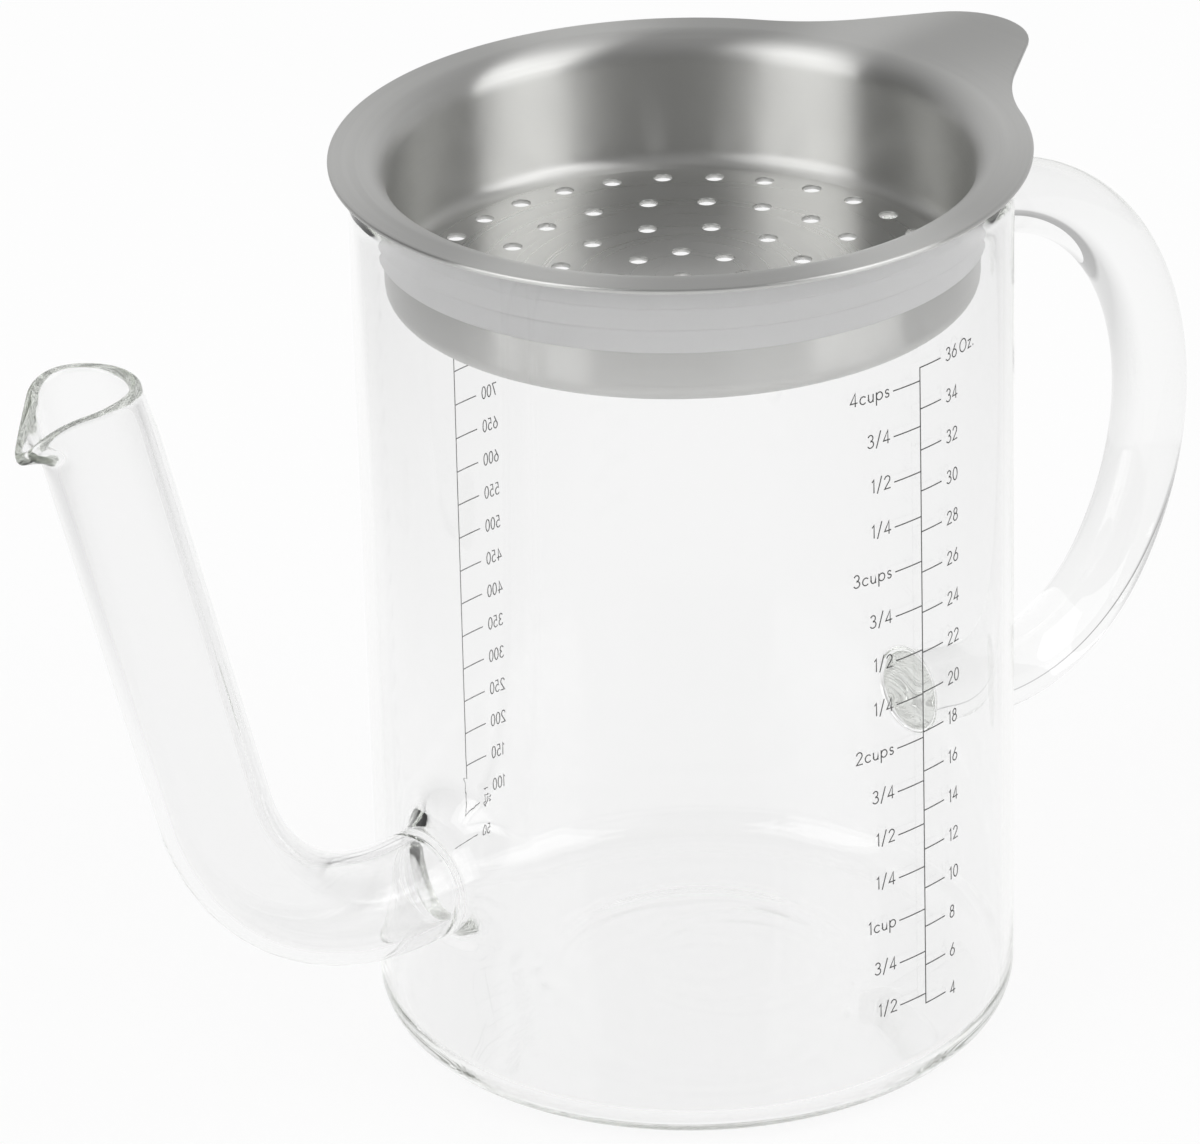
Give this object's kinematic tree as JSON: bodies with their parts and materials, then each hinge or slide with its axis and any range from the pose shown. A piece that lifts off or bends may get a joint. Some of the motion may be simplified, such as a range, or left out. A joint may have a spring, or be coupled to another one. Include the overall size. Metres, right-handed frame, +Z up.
{
  "type": "gravy fat separator",
  "caption": "Glass gravy fat separator: a cylindrical measuring jug with a low pouring spout, a rod handle and a lift-out steel strainer on a silicone seal",
  "frame": {"origin": "centre of the jug's foot, on the plane that it rests on", "axes": "+Z up along the jug's axis; the pouring spout leaves towards -X, the handle and the strainer's tab lie towards +X"},
  "size_m": [0.2534, 0.111, 0.1508],
  "materials": {
    "glass": "clear borosilicate, blown, with fire-polished rims",
    "seal": "translucent white silicone, satin",
    "steel": "stainless sheet, deep drawn, brushed",
    "print": "thin dark grey enamel, printed and fired onto the glass"
  },
  "bodies": {
    "root": {"jug_body": "glass", "pouring_spout": "glass", "handle": "glass"},
    "seal": {"seal_ring": "seal"},
    "strainer": {"strainer_basket": "steel"}
  },
  "joints": [
    {"name": "strainer_lift", "type": "slide", "parent": "root", "child": "seal", "axis": [0, 0, 1], "range_m": [0, 0.045]},
    {"name": "strainer_turn", "type": "hinge", "parent": "seal", "child": "strainer", "pos_m": [0, 0, 0.15], "axis": [0, 0, 1], "continuous": true}
  ]
}
